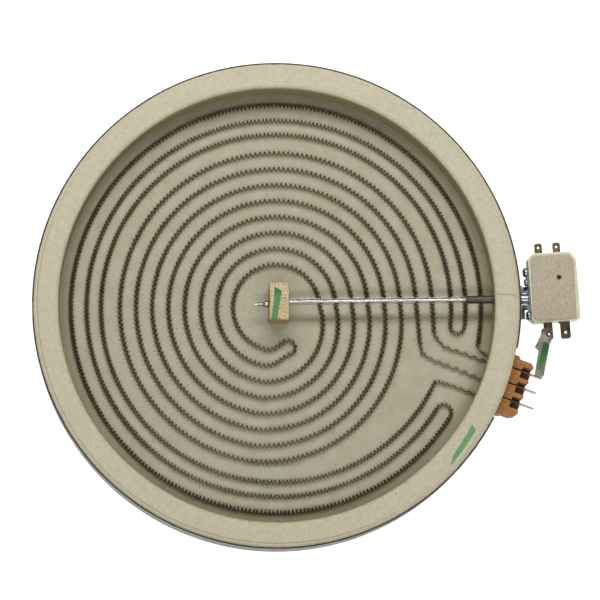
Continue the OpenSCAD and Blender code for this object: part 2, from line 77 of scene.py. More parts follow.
# ---------------------------------------------------------------- materials
class Finish:
    """A node material; sizes are in millimetres, coordinates are the object's."""

    def __init__(self, name):
        self.m = bpy.data.materials.new(name)
        self.m.use_nodes = True
        self.nt = self.m.node_tree
        self.p = self.nt.nodes["Principled BSDF"]
        self.co = self.node("ShaderNodeTexCoord").outputs["Object"]
        s = self.node("ShaderNodeSeparateXYZ")
        self.nt.links.new(self.co, s.inputs[0])
        self.x, self.y, self.z = s.outputs

    def node(self, kind, **props):
        n = self.nt.nodes.new(kind)
        for k, v in props.items():
            setattr(n, k, v)
        return n

    def put(self, socket, value):
        if isinstance(value, bpy.types.NodeSocket):
            self.nt.links.new(value, socket)
        else:
            socket.default_value = value

    def math(self, op, a, b=0.0, c=0.0, clamp=False):
        n = self.node("ShaderNodeMath", operation=op, use_clamp=clamp)
        for s, v in zip(n.inputs, (a, b, c)):
            self.put(s, v)
        return n.outputs[0]

    def add(self, a, b):
        return self.math("ADD", a, b)

    def mul(self, a, b):
        return self.math("MULTIPLY", a, b)

    def step(self, value, lo, hi, to0=0.0, to1=1.0):
        n = self.node("ShaderNodeMapRange", interpolation_type="SMOOTHSTEP")
        for s, v in zip(n.inputs[:5], (value, lo, hi, to0, to1)):
            self.put(s, v)
        return n.outputs[0]

    def noise(self, size, detail=2.0, rough=0.5, co=None, warp=0.0):
        n = self.node("ShaderNodeTexNoise")
        self.put(n.inputs["Vector"], co or self.co)
        n.inputs["Scale"].default_value = 1000.0 / size
        n.inputs["Detail"].default_value = detail
        n.inputs["Roughness"].default_value = rough
        n.inputs["Distortion"].default_value = warp
        return n.outputs["Fac"]

    def cells(self, size, co=None, feature="F1", jitter=1.0):
        n = self.node("ShaderNodeTexVoronoi", feature=feature)
        self.put(n.inputs["Vector"], co or self.co)
        n.inputs["Scale"].default_value = 1000.0 / size
        n.inputs["Randomness"].default_value = jitter
        return n

    def stretched(self, x=1.0, y=1.0, z=1.0, turn=0.0):
        n = self.node("ShaderNodeMapping")
        self.put(n.inputs["Vector"], self.co)
        n.inputs["Scale"].default_value = (x, y, z)
        n.inputs["Rotation"].default_value = (0, 0, math.radians(turn))
        return n.outputs[0]

    def ramp(self, fac, *stops):
        n = self.node("ShaderNodeValToRGB")
        e = n.color_ramp.elements
        while len(e) < len(stops):
            e.new(0.5)
        for k, (pos, col) in zip(e, stops):
            k.position = pos
            k.color = (*col, 1.0) if len(col) == 3 else col
        self.put(n.inputs[0], fac)
        return n.outputs["Color"]

    def mix(self, fac, a, b, mode="MIX"):
        n = self.node("ShaderNodeMix", data_type="RGBA", blend_type=mode)
        self.put(n.inputs["Factor"], fac)
        for s, v in ((n.inputs[6], a), (n.inputs[7], b)):
            self.put(s, v if isinstance(v, bpy.types.NodeSocket) else (*v, 1.0))
        return n.outputs[2]

    def bump(self, height, depth, strength=1.0, under=None):
        n = self.node("ShaderNodeBump")
        n.inputs["Strength"].default_value = strength
        n.inputs["Distance"].default_value = depth * MM
        self.put(n.inputs["Height"], height)
        if under is not None:
            self.put(n.inputs["Normal"], under)
        return n.outputs[0]

    def inside(self, points, edge=0.15, wobble=0.25, grain=0.8):
        """1 inside a convex outline given anticlockwise in millimetres, with
        a slightly ragged edge."""
        n = self.noise(grain, 2.0)
        ragged = self.mul(self.add(n, -0.5), 2 * wobble * MM)
        best = None
        for a, b in zip(points, points[1:] + points[:1]):
            a, b = np.array(a, float), np.array(b, float)
            d = (b - a) / np.linalg.norm(b - a)
            inward = np.array([-d[1], d[0]])
            dot = self.node("ShaderNodeVectorMath", operation="DOT_PRODUCT")
            self.put(dot.inputs[0], self.co)
            dot.inputs[1].default_value = (*inward, 0.0)
            dist = self.add(dot.outputs["Value"], float(-inward @ a) * MM)
            best = dist if best is None else self.math("MINIMUM", best, dist)
        return self.step(self.add(best, ragged), -edge * MM, edge * MM)

    def done(self, color=None, rough=None, metal=None, normal=None, **more):
        for name, v in (("Base Color", color), ("Roughness", rough),
                        ("Metallic", metal), ("Normal", normal)):
            if v is not None:
                if name == "Base Color" and not isinstance(v, bpy.types.NodeSocket):
                    v = (*v, 1.0)
                self.put(self.p.inputs[name], v)
        for name, v in more.items():
            self.put(self.p.inputs[name.replace("_", " ")], v)
        return self.m


def srgb(*c):
    """Linear colour for an sRGB triple."""
    out = []
    for v in c:
        v /= 255.0
        out.append(v / 12.92 if v <= 0.04045 else ((v + 0.055) / 1.055) ** 2.4)
    return tuple(out)


def scaled(c, k):
    return tuple(min(1.0, v * k) for v in c)


GREEN = srgb(70, 140, 84)
GREEN_DARK = srgb(34, 112, 72)


def ring_finish():
    f = Finish("ring_sand")
    body = f.ramp(f.noise(2.6, 3.0, 0.6),
                  (0.30, srgb(198, 188, 161)), (0.5, srgb(204, 197, 173)),
                  (0.72, srgb(211, 206, 187)))
    grain = f.cells(0.62)
    v = f.node("ShaderNodeSeparateColor")
    f.put(v.inputs[0], grain.outputs["Color"])
    body = f.mix(f.step(v.outputs[0], 0.0, 1.0, 0.0, 0.55), body,
                 f.ramp(v.outputs[1], (0.0, srgb(184, 168, 132)),
                        (0.45, srgb(206, 198, 168)), (0.8, srgb(214, 208, 190)),
                        (1.0, srgb(222, 196, 150))))
    # dark and rusty flecks
    fleck = f.cells(3.4)
    pick = f.node("ShaderNodeSeparateColor")
    f.put(pick.inputs[0], fleck.outputs["Color"])
    small = f.math("SUBTRACT", 1.0, f.step(fleck.outputs["Distance"], 0.08, 0.17))
    chosen = f.step(pick.outputs[2], 0.78, 0.82)
    body = f.mix(f.mul(small, f.mul(chosen, 0.9)), body,
                 f.ramp(pick.outputs[0], (0.0, srgb(120, 98, 66)),
                        (0.6, srgb(140, 128, 100)), (1.0, srgb(160, 108, 66))))
    # bare straw-coloured arrises
    r = f.node("ShaderNodeVectorMath", operation="LENGTH")
    flat = f.node("ShaderNodeCombineXYZ")
    f.put(flat.inputs[0], f.x)
    f.put(flat.inputs[1], f.y)
    f.put(r.inputs[0], flat.outputs[0])
    radius = r.outputs["Value"]
    inner = f.step(radius, 0.1369, 0.1377, 1.0, 0.0)
    outer = f.step(radius, 0.1496, 0.1501)
    arris = f.mul(f.add(inner, outer), f.step(f.noise(1.7, 3.0, 0.7), 0.40, 0.62))
    body = f.mix(f.mul(arris, 0.55), body, srgb(196, 172, 124))
    # painted shade in a groove beside the outer edge, and a painted highlight on the strip next to it, both
    # painted stronger towards the lower left
    away = f.math("DIVIDE", f.mul(f.add(f.x, f.y), -0.7071), radius)
    painted_shading = f.step(away, 0.1, 0.6, 0.15, 0.6)
    groove = f.step(f.math("ABSOLUTE", f.add(radius, -0.14895)), 0.0005, 0.0001)
    body = f.mix(f.mul(groove, painted_shading), body, srgb(146, 138, 104))
    strip = f.step(f.math("ABSOLUTE", f.add(radius, -0.14985)), 0.0007, 0.0002)
    body = f.mix(f.mul(strip, painted_shading), body, srgb(212, 205, 182))
    # painted shade: the wall inside is painted darker, standing in for the shade it lies in; it is also a
    # little warmer in tone
    wall = f.mul(f.step(f.z, 0.0338, 0.0328), f.step(radius, 0.1370, 0.1363))
    body = f.mix(f.mul(wall, 0.75), body, srgb(174, 160, 118))
    # crack
    crack = f.near([(137.3, 6.35), (142.0, 6.35), (146.7, 6.15), (149.2, 5.6),
                    (151.6, 4.7)], 0.16, 0.2)
    body = f.mix(f.mul(crack, 0.75), body, srgb(92, 82, 62))
    # a black spot
    spot = f.near([(73.2, -118.5), (73.5, -118.3)], 0.42, 0.1)
    body = f.mix(spot, body, srgb(28, 26, 24))
    # green paint
    mark = f.math("MAXIMUM",
                  f.inside([(107.2, -101.6), (114.6, -91.9), (121.2, -82.0),
                            (119.0, -78.8), (113.8, -86.9), (109.0, -94.4)],
                           0.2, 0.35),
                  f.inside([(119.0, -79.6), (121.0, -82.6), (123.3, -78.8),
                            (121.1, -74.8), (118.4, -78.6)], 0.2, 0.3))
    wear = f.step(f.noise(0.9, 3.0, 0.7), 0.30, 0.62)
    paint = f.mix(f.noise(2.5, 2.0), GREEN, srgb(96, 168, 118))
    body = f.mix(f.mul(mark, f.add(f.mul(wear, 0.35), 0.62)), body, paint)
    normal = f.bump(f.noise(0.7, 3.0, 0.65), 0.09, 0.6)
    normal = f.bump(f.noise(0.28, 2.0), 0.04, 0.5, normal)
    return f.done(body, 0.93, 0.0, normal, Specular_IOR_Level=0.15)


def near(f, points, width, wobble):
    """1 within width millimetres of a broken line."""
    warp = f.node("ShaderNodeTexNoise")
    f.put(warp.inputs["Vector"], f.co)
    warp.inputs["Scale"].default_value = 1000 / 2.2
    warp.inputs["Detail"].default_value = 3.0
    shift = f.node("ShaderNodeVectorMath", operation="MULTIPLY_ADD")
    f.put(shift.inputs[0], warp.outputs["Color"])
    shift.inputs[1].default_value = (2 * wobble * MM,) * 2 + (0.0,)
    shift.inputs[2].default_value = (-wobble * MM,) * 2 + (0.0,)
    at = f.node("ShaderNodeVectorMath", operation="ADD")
    f.put(at.inputs[0], f.co)
    f.put(at.inputs[1], shift.outputs[0])
    best = None
    for a, b in zip(points, points[1:]):
        a, b = np.array(a, float) * MM, np.array(b, float) * MM
        d = b - a
        length = float(np.linalg.norm(d))
        d = d / length
        rel = f.node("ShaderNodeVectorMath", operation="SUBTRACT")
        f.put(rel.inputs[0], at.outputs[0])
        rel.inputs[1].default_value = (*a, 0.0)
        along = f.node("ShaderNodeVectorMath", operation="DOT_PRODUCT")
        f.put(along.inputs[0], rel.outputs[0])
        along.inputs[1].default_value = (*d, 0.0)
        across = f.node("ShaderNodeVectorMath", operation="DOT_PRODUCT")
        f.put(across.inputs[0], rel.outputs[0])
        across.inputs[1].default_value = (-d[1], d[0], 0.0)
        over = f.math("MAXIMUM", f.math("SUBTRACT", along.outputs["Value"], length),
                      f.mul(along.outputs["Value"], -1.0))
        over = f.math("MAXIMUM", over, 0.0)
        dist = f.math("SQRT", f.add(f.mul(over, over), f.mul(
            across.outputs["Value"], across.outputs["Value"])))
        best = dist if best is None else f.math("MINIMUM", best, dist)
    return f.step(best, width * MM, width * 0.45 * MM)


Finish.near = near


def base_finish():
    f = Finish("base_board")
    body = f.ramp(f.noise(9.0, 4.0, 0.6), (0.30, srgb(179, 174, 149)),
                  (0.5, srgb(186, 181, 156)), (0.7, srgb(191, 187, 165)))
    grain = f.cells(0.5)
    v = f.node("ShaderNodeSeparateColor")
    f.put(v.inputs[0], grain.outputs["Color"])
    body = f.mix(f.step(v.outputs[0], 0.0, 1.0, 0.0, 0.18), body, srgb(158, 152, 128))
    # soft yellowish clouds
    body = f.mix(f.mul(f.step(f.noise(22.0, 3.0, 0.7), 0.52, 0.75), 0.28), body,
                 srgb(178, 168, 136))
    # pin marks of the press, on a diagonal grid 10 mm apart
    east, north = f.add(f.x, 0.01314), f.add(f.y, -0.00785)
    grid = f.node("ShaderNodeCombineXYZ")
    f.put(grid.inputs[0], f.mul(f.add(east, north), 1 / 0.0142))
    f.put(grid.inputs[1], f.mul(f.math("SUBTRACT", east, north), 1 / 0.0142))
    pins = f.node("ShaderNodeTexVoronoi", voronoi_dimensions="2D")
    f.put(pins.inputs["Vector"], grid.outputs[0])
    pins.inputs["Scale"].default_value = 1.0
    pins.inputs["Randomness"].default_value = 0.05
    seen = f.node("ShaderNodeSeparateColor")
    f.put(seen.inputs[0], pins.outputs["Color"])
    dot = f.mul(f.step(pins.outputs["Distance"], 0.028, 0.046, 1.0, 0.0),
                f.step(seen.outputs[0], 0.25, 0.6, 0.1, 1.0))
    body = f.mix(f.mul(dot, 0.7), body, srgb(78, 72, 56))
    specks = f.cells(4.2)
    pick = f.node("ShaderNodeSeparateColor")
    f.put(pick.inputs[0], specks.outputs["Color"])
    dots = f.mul(f.step(specks.outputs["Distance"], 0.045, 0.085, 1.0, 0.0),
                 f.step(pick.outputs[0], 0.80, 0.84))
    body = f.mix(f.mul(dots, 0.5), body, srgb(84, 78, 62))
    # flaked and stained stretches beside the ribbons
    flat = f.node("ShaderNodeCombineXYZ")
    f.put(flat.inputs[0], f.x)
    f.put(flat.inputs[1], f.y)
    length = f.node("ShaderNodeVectorMath", operation="LENGTH")
    f.put(length.inputs[0], flat.outputs[0])
    radius = length.outputs["Value"]
    # painted shade: the board is painted darker towards the wall under the ring, standing in for the shade the
    # wall casts there
    body = f.mix(f.step(radius, 0.1265, 0.1352, 0.0, 0.45), body, srgb(118, 108, 80))
    angle = f.math("ARCTAN2", f.y, f.x)
    stain = None
    for r, a0, a1, wide in ((118.8, -158, -128, 3.2), (109.8, -105, -80, 3.0),
                            (97.9, -103, -78, 3.0), (118.8, -112, -70, 2.6),
                            (128.5, -118, -72, 2.6)):
        band = f.step(f.math("ABSOLUTE", f.math("SUBTRACT", radius, r * MM)),
                      wide * MM, wide * 0.4 * MM)
        mid, half = math.radians((a0 + a1) / 2), math.radians((a1 - a0) / 2)
        arc = f.step(f.math("ABSOLUTE", f.math("SUBTRACT", angle, mid)),
                     half, half * 0.6)
        both = f.mul(band, arc)
        stain = both if stain is None else f.math("MAXIMUM", stain, both)
    flake = f.step(f.noise(0.9, 3.0, 0.75), 0.52, 0.58)
    soot = f.step(f.noise(1.3, 4.0, 0.75), 0.48, 0.54)
    body = f.mix(f.mul(f.mul(stain, soot), 0.7), body, srgb(66, 63, 52))
    body = f.mix(f.mul(f.mul(stain, flake), 0.7), body, srgb(206, 202, 184))
    normal = f.bump(f.noise(1.2, 4.0, 0.6), 0.10, 0.45)
    normal = f.bump(f.mul(stain, flake), 0.2, 0.6, normal)
    return f.done(body, 0.95, 0.0, normal, Specular_IOR_Level=0.1)


def ribbon_finish():
    f = Finish("ribbon_oxide")
    tone = f.noise(7.0, 3.0, 0.7)
    body = f.ramp(tone, (0.28, srgb(56, 38, 18)), (0.45, srgb(88, 64, 32)),
                  (0.60, srgb(116, 88, 48)), (0.74, srgb(100, 90, 66)))
    body = f.mix(f.step(f.noise(1.1, 3.0), 0.45, 0.75, 0.0, 0.5), body,
                 srgb(36, 25, 13))
    rough = f.step(f.noise(2.0, 2.0), 0.3, 0.7, 0.42, 0.7)
    return f.done(body, rough, 0.45, f.bump(f.noise(0.5, 2.0), 0.02, 0.5))


def vermiculite_finish():
    f = Finish("vermiculite")
    flakes = f.cells(0.95, f.stretched(1.0, 1.0, 1.6))
    v = f.node("ShaderNodeSeparateColor")
    f.put(v.inputs[0], flakes.outputs["Color"])
    body = f.ramp(v.outputs[0], (0.0, srgb(182, 150, 104)), (0.18, srgb(208, 182, 138)),
                  (0.45, srgb(222, 205, 166)), (0.72, srgb(232, 219, 186)),
                  (0.9, srgb(214, 182, 130)), (1.0, srgb(150, 118, 80)))
    fine = f.cells(0.45)
    w = f.node("ShaderNodeSeparateColor")
    f.put(w.inputs[0], fine.outputs["Color"])
    body = f.mix(f.step(w.outputs[0], 0.0, 1.0, 0.0, 0.5), body,
                 f.ramp(w.outputs[1], (0.0, srgb(172, 140, 94)), (1.0, srgb(232, 217, 182))))
    gaps = f.step(flakes.outputs["Distance"], 0.55, 0.80)
    body = f.mix(f.mul(gaps, 0.3), body, srgb(128, 92, 50))
    # sides are browner than the sawn top
    side = f.step(f.z, 0.0343, 0.0334)
    body = f.mix(f.mul(side, 0.45), body, srgb(190, 146, 84))
    mark = f.math("MAXIMUM",
                  f.inside([(-3.7, -10.05), (0.1, -9.95), (1.3, -1.5), (2.4, 5.4),
                            (-2.1, 2.4)], 0.15, 0.35),
                  f.inside([(-2.2, 2.2), (2.4, 5.2), (2.75, 8.1), (-1.65, 10.7)],
                           0.15, 0.3))
    mark = f.mul(mark, f.step(f.z, 0.0338, 0.0342))
    pits = f.step(f.noise(0.8, 3.0, 0.7), 0.28, 0.42, 0.55, 1.0)
    top = f.step(f.y, 0.004, 0.009)
    paint = f.mix(top, srgb(92, 156, 98), srgb(40, 126, 84))
    paint = f.mix(f.step(f.noise(0.8, 3.0, 0.7), 0.42, 0.62, 0.0, 0.6), paint,
                  srgb(84, 118, 66))
    body = f.mix(f.mul(mark, pits), body, paint)
    height = f.add(f.mul(v.outputs[2], 0.7), f.mul(f.noise(0.6, 3.0), 0.6))
    return f.done(body, 0.86, 0.0, f.bump(height, 0.22, 0.8), Specular_IOR_Level=0.3)


def quartz_finish():
    f = Finish("quartz")
    body = f.ramp(f.noise(12.0, 2.0), (0.3, (0.97, 0.975, 0.97)), (0.7, (0.99, 0.99, 0.99)))
    return f.done(body, 0.03, 0.0, Transmission_Weight=1.0, IOR=1.46)


def metal_finish(name, light, dark, rough=(0.22, 0.42), metal=1.0, size=3.0,
                 dirt=None, scratches=0.003):
    f = Finish(name)
    body = f.ramp(f.noise(size, 4.0, 0.6), (0.30, dark), (0.68, light))
    if dirt:
        body = f.mix(f.step(f.noise(size * 0.6, 4.0, 0.7), 0.54, 0.70, 0.0, 0.7),
                     body, dirt)
    r = f.step(f.noise(size * 0.5, 3.0), 0.3, 0.75, *rough)
    h = f.noise(0.5, 3.0, co=f.stretched(0.15, 1.0, 1.0))
    return f.done(body, r, metal, f.bump(h, scratches, 0.4))


def pan_finish():
    """Aluminised sheet with a faint spangle and drawing lines."""
    f = Finish("pan_sheet")
    spangle = f.cells(5.5)
    v = f.node("ShaderNodeSeparateColor")
    f.put(v.inputs[0], spangle.outputs["Color"])
    body = f.ramp(v.outputs[0], (0.0, srgb(80, 79, 75)), (1.0, srgb(96, 95, 91)))
    body = f.mix(f.step(f.noise(14.0, 5.0, 0.7), 0.55, 0.75, 0.0, 0.5), body,
                 srgb(62, 59, 53))
    rough = f.add(f.step(v.outputs[1], 0.0, 1.0, 0.36, 0.46),
                  f.mul(f.noise(3.0, 3.0), 0.1))
    lines = f.noise(0.9, 3.0, co=f.stretched(0.08, 0.08, 1.0))
    return f.done(body, rough, 0.85, f.bump(lines, 0.02, 0.5))


def cream_finish():
    f = Finish("cream_steatite")
    body = f.ramp(f.noise(5.0, 4.0, 0.6), (0.3, srgb(214, 208, 176)),
                  (0.7, srgb(228, 223, 196)))
    grey = f.step(f.noise(7.0, 4.0, 0.7), 0.56, 0.72, 0.0, 0.35)
    body = f.mix(grey, body, srgb(176, 172, 150))
    specks = f.cells(2.2)
    body = f.mix(f.step(specks.outputs["Distance"], 0.05, 0.09, 0.4, 0.0), body,
                 srgb(120, 108, 82))
    return f.done(body, 0.48, 0.0, f.bump(f.noise(0.7, 3.0), 0.03, 0.4),
                  Specular_IOR_Level=0.4)


def cover_finish():
    f = Finish("cover_board")
    grain = f.cells(0.75)
    v = f.node("ShaderNodeSeparateColor")
    f.put(v.inputs[0], grain.outputs["Color"])
    body = f.ramp(v.outputs[0], (0.0, srgb(170, 158, 134)), (0.35, srgb(189, 179, 155)),
                  (0.7, srgb(197, 187, 165)), (1.0, srgb(200, 184, 166)))
    body = f.mix(0.45, body, f.ramp(f.noise(2.4, 3.0, 0.65), (0.3, srgb(176, 164, 142)),
                                    (0.7, srgb(196, 184, 164))))
    body = f.mix(f.mul(f.step(v.outputs[1], 0.86, 0.92), 0.4), body, srgb(142, 128, 110))
    # two moulding dots, and a painted highlight on the cover's sides
    dots = f.math("MAXIMUM", f.near([tuple(in_limiter(11.1, 20.9)), tuple(in_limiter(11.2, 20.9))], 0.3, 0.05),
                  f.near([tuple(in_limiter(25.0, 16.9)), tuple(in_limiter(25.1, 16.9))], 0.35, 0.05))
    body = f.mix(f.mul(dots, 0.7), body, srgb(92, 84, 72))
    # painted highlight: the cover's sides, below 33.1 mm, are painted lighter, standing in for light catching
    # its edge
    edge = f.step(f.z, 0.0333, 0.0331)
    body = f.mix(f.mul(edge, 0.5), body, srgb(206, 198, 178))
    return f.done(body, 0.84, 0.0, f.bump(f.noise(0.8, 4.0, 0.6), 0.06, 0.5),
                  Specular_IOR_Level=0.2)


def brown_finish():
    f = Finish("brown_ceramic")
    body = f.ramp(f.noise(1.3, 4.0, 0.65), (0.28, srgb(150, 99, 50)),
                  (0.5, srgb(169, 117, 64)), (0.72, srgb(184, 134, 80)))
    grain = f.cells(0.6)
    v = f.node("ShaderNodeSeparateColor")
    f.put(v.inputs[0], grain.outputs["Color"])
    body = f.mix(f.step(v.outputs[0], 0.6, 1.0, 0.0, 0.4), body, srgb(150, 96, 50))
    body = f.mix(f.mul(f.step(v.outputs[1], 0.92, 0.95), 0.6), body, srgb(216, 178, 130))
    # painted shade: the block is painted darker lower down, in the pockets and on its lower sides, standing in
    # for the shade there
    painted_shading = f.step(f.z, 0.0215, 0.0135)
    body = f.mix(f.mul(painted_shading, 0.75), body, srgb(104, 62, 28))
    return f.done(body, 0.72, 0.0, f.bump(f.noise(0.9, 4.0), 0.10, 0.5),
                  Specular_IOR_Level=0.3)


def blade_finish():
    """Plated blades, darker and less metallic over the ceramic block."""
    f = Finish("blade_plate")
    body = f.ramp(f.noise(2.6, 3.0, 0.6), (0.3, srgb(146, 143, 133)),
                  (0.7, srgb(190, 187, 177)))
    out = f.add(f.mul(f.x, 0.93969), f.mul(f.y, -0.34202))
    dark = f.step(out, 0.1622, 0.1652, 1.0, 0.0)
    body = f.mix(f.mul(dark, 0.88), body, srgb(56, 47, 38))
    return f.done(body, f.step(dark, 0.0, 1.0, 0.32, 0.5), f.step(dark, 0.0, 1.0, 0.9, 0.4))


def strap_finish():
    f = Finish("strap_nickel")
    body = f.ramp(f.noise(2.4, 4.0, 0.6), (0.3, srgb(134, 130, 118)),
                  (0.7, srgb(168, 164, 152)))
    mark = f.inside([(162.7, -39.0), (164.4, -39.8), (167.0, -35.4), (169.6, -29.0),
                     (170.3, -25.0), (169.4, -22.4), (167.9, -21.7), (166.5, -23.4)],
                    0.15, 0.12)
    mark = f.mul(mark, f.step(f.z, 0.0226, 0.0229))
    warm = f.step(f.y, -0.041, -0.022)
    paint = f.mix(warm, srgb(74, 136, 66), srgb(22, 86, 50))
    paint = f.mix(f.mul(f.noise(0.9, 2.0), 0.3), paint, srgb(44, 118, 70))
    body = f.mix(mark, body, paint)
    metal = f.step(mark, 0.0, 1.0, 0.75, 0.0)
    rough = f.step(f.noise(1.6, 3.0), 0.3, 0.7, 0.34, 0.5)
    return f.done(body, rough, metal, f.bump(f.noise(1.6, 2.0), 0.012, 0.4))


M = {
    "ring": ring_finish(),
    "base": base_finish(),
    "ribbon": ribbon_finish(),
    "vermiculite": vermiculite_finish(),
    "quartz": quartz_finish(),
    "pan": pan_finish(),
    "cream": cream_finish(),
    "cover": cover_finish(),
    "brown": brown_finish(),
    "strap": strap_finish(),
    "zinc": metal_finish("zinc_plate", srgb(186, 194, 200), srgb(140, 149, 155),
                         (0.28, 0.42), size=4.0),
    "rod": metal_finish("rod_steel", srgb(240, 239, 236), srgb(220, 218, 214),
                        (0.36, 0.46), 0.8, 8.0, scratches=0.001),
    "ferrule": metal_finish("ferrule_steel", srgb(214, 212, 210), srgb(128, 116, 108),
                            (0.16, 0.3), size=1.8),
    "rivet": metal_finish("rivet_dull", srgb(152, 132, 106), srgb(92, 80, 66),
                          (0.3, 0.5), 0.85, 1.5),
    "sleeve": metal_finish("sleeve", srgb(96, 92, 84), srgb(58, 56, 50),
                           (0.32, 0.55), 0.55, 1.1, srgb(120, 116, 106)),
    "blade": blade_finish(),
    # painted shade: the plated tabs are given a dark olive-brown, standing in for the shade they lie in
    "tab": metal_finish("tab_plate", srgb(106, 94, 75), srgb(86, 75, 58),
                        (0.4, 0.55), 0.6, 3.0, srgb(70, 60, 47)),
    "copper": metal_finish("copper", srgb(206, 130, 62), srgb(140, 74, 30),
                           (0.22, 0.42), size=1.2, dirt=srgb(92, 60, 36)),
    "leaf": metal_finish("leaf_alloy", srgb(214, 182, 118), srgb(176, 140, 84),
                         (0.2, 0.35), size=3.0),
    "bright": metal_finish("bright_metal", srgb(224, 224, 220), srgb(180, 180, 176),
                           (0.12, 0.25), size=2.0),
}


# ---------------------------------------------------------------- meshes
def link(name, me, mat, node=(), body="heater", angle=35.0):
    """Puts a finished mesh in the scene as a piece that rides on a body."""
    me.materials.clear()
    me.materials.append(mat)
    me.shade_smooth()
    me.set_sharp_from_angle(angle=math.radians(angle))
    ob = bpy.data.objects.new(name, me)
    scene.collection.objects.link(ob)
    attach(ob, body)
    if node:
        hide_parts(*([node] if isinstance(node, str) else node))
    return ob


def mesh_of(name, verts_mm, faces):
    me = bpy.data.meshes.new(name)
    me.from_pydata([tuple(float(c) * MM for c in v) for v in verts_mm], [],
                   [tuple(int(i) for i in q) for q in faces])
    me.update()
    return me


def softened(node, name, mat, width, segments=2, angle=40.0, body="heater",
             change=None, smooth=35.0):
    """A CAD node's own shape with its sharp edges rounded by width mm."""
    bm = bmesh.new()
    bm.from_mesh(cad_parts[node].data)
    bmesh.ops.remove_doubles(bm, verts=bm.verts, dist=2e-6)
    bmesh.ops.dissolve_limit(bm, angle_limit=math.radians(0.6), verts=bm.verts,
                             edges=bm.edges)
    bmesh.ops.recalc_face_normals(bm, faces=bm.faces)
    if width:
        edges = [e for e in bm.edges if len(e.link_faces) == 2
                 and e.calc_face_angle(0) > math.radians(angle)]
        bmesh.ops.bevel(bm, geom=edges, offset=width * MM, segments=segments,
                        profile=0.5, affect="EDGES", clamp_overlap=True,
                        miter_outer="ARC")
    if change:
        change(bm)
    bmesh.ops.triangulate(bm, faces=[q for q in bm.faces if len(q.verts) > 4])
    me = bpy.data.meshes.new(name)
    bm.to_mesh(me)
    bm.free()
    return link(name, me, mat, node, body, smooth)


def cut(me, cutters, how="DIFFERENCE"):
    """Subtracts closed meshes from a closed mesh, or joins them to it."""
    work = bpy.data.objects.new("work", me)
    scene.collection.objects.link(work)
    tools = []
    for c in cutters:
        t = bpy.data.objects.new("tool", c)
        scene.collection.objects.link(t)
        tools.append(t)
        m = work.modifiers.new("cut", "BOOLEAN")
        m.operation, m.object, m.solver = how, t, "EXACT"
    dg = bpy.context.evaluated_depsgraph_get()
    out = bpy.data.meshes.new_from_object(work.evaluated_get(dg))
    for o in [work, *tools]:
        bpy.data.objects.remove(o)
    return out


def box_mesh(lo, hi, turn=None, at=None):
    """A box in mm, turned about Z by turn degrees and moved to at."""
    bm = bmesh.new()
    bmesh.ops.create_cube(bm, size=1.0)
    lo, hi = np.array(lo, float), np.array(hi, float)
    for v in bm.verts:
        c = (lo + hi) / 2 + np.array(v.co) * (hi - lo)
        if turn is not None:
            c[:2] = rot(turn) @ c[:2]
        if at is not None:
            c[:2] += at
        v.co = Vector(c * MM)
    me = bpy.data.meshes.new("box")
    bm.to_mesh(me)
    bm.free()
    return me


def rod_mesh(x0, x1, r, n=48):
    """A cylinder along the rod's axis."""
    d = np.array([math.cos(math.radians(ROD_A)), math.sin(math.radians(ROD_A)), 0])
    s = np.array([-d[1], d[0], 0])
    o = np.array([0, ROD_Y, ROD_Z])
    verts, faces = [], []
    for x in (x0, x1):
        for k in range(n):
            a = 2 * math.pi * k / n
            verts.append(o + d * x + s * r * math.cos(a) + np.array([0, 0, r * math.sin(a)]))
    for k in range(n):
        j = (k + 1) % n
        faces.append((k, j, n + j, n + k))
    faces.append(tuple(range(n))[::-1])
    faces.append(tuple(range(n, 2 * n)))
    me = mesh_of("cyl", verts, faces)
    bm = bmesh.new()
    bm.from_mesh(me)
    bmesh.ops.recalc_face_normals(bm, faces=bm.faces)
    bm.to_mesh(me)
    bm.free()
    return me


def rod_axis(x, y, z):
    """World millimetres of a point given along the rod's own axis."""
    d = rot(ROD_A) @ np.array([x, y], float)
    return np.array([d[0], d[1] + ROD_Y, ROD_Z + z])


def tube_piece():
    n, verts, faces = 96, [], []
    for x, r in ((0.5, 2.0), (162.3, 2.0), (162.3, 1.2), (0.5, 1.2)):
        for k in range(n):
            a = 2 * math.pi * k / n
            verts.append(rod_axis(x, r * math.cos(a), r * math.sin(a)))
    for s in range(4):
        e = (s + 1) % 4
        for k in range(n):
            j = (k + 1) % n
            faces.append((s * n + k, s * n + j, e * n + j, e * n + k))
    me = mesh_of("quartz_tube_clear", verts, faces)
    bm = bmesh.new()
    bm.from_mesh(me)
    bmesh.ops.recalc_face_normals(bm, faces=bm.faces)
    bm.to_mesh(me)
    bm.free()
    return link("quartz_tube_clear", me, M["quartz"], "quartz_tube")


def pin_mesh(at, turn, r, length, n=40):
    """A cylinder that runs from at towards -X, turned about Z."""
    d = -np.array([*(rot(turn) @ np.array([1.0, 0.0])), 0.0])
    s = np.array([-d[1], d[0], 0.0])
    verts, faces = [], []
    for x in (0.0, length):
        for k in range(n):
            a = 2 * math.pi * k / n
            verts.append(np.array(at, float) + d * x + s * r * math.cos(a)
                         + np.array([0, 0, r * math.sin(a)]))
    for k in range(n):
        j = (k + 1) % n
        faces.append((k, j, n + j, n + k))
    faces += [tuple(range(n))[::-1], tuple(range(n, 2 * n))]
    me = mesh_of("pin", verts, faces)
    bm = bmesh.new()
    bm.from_mesh(me)
    bmesh.ops.recalc_face_normals(bm, faces=bm.faces)
    bm.to_mesh(me)
    bm.free()
    return me


def rod_piece():
    me = cut(rod_mesh(-0.9, 164.7, 0.9, 64),
             [pin_mesh((-0.5, ROD_Y + 0.1, ROD_Z), 24, 0.7, 4.1),
              pin_mesh((-3.8, 0.78, ROD_Z), 2, 0.7, 10.3)], "UNION")
    me.name = "expansion_rod_bright"
    return link("expansion_rod_bright", me, M["rod"], "expansion_rod")


def fbm(x, y, z, octaves=3):
    return noise.fractal(Vector((x, y, z)), 1.0, 2.1, octaves)


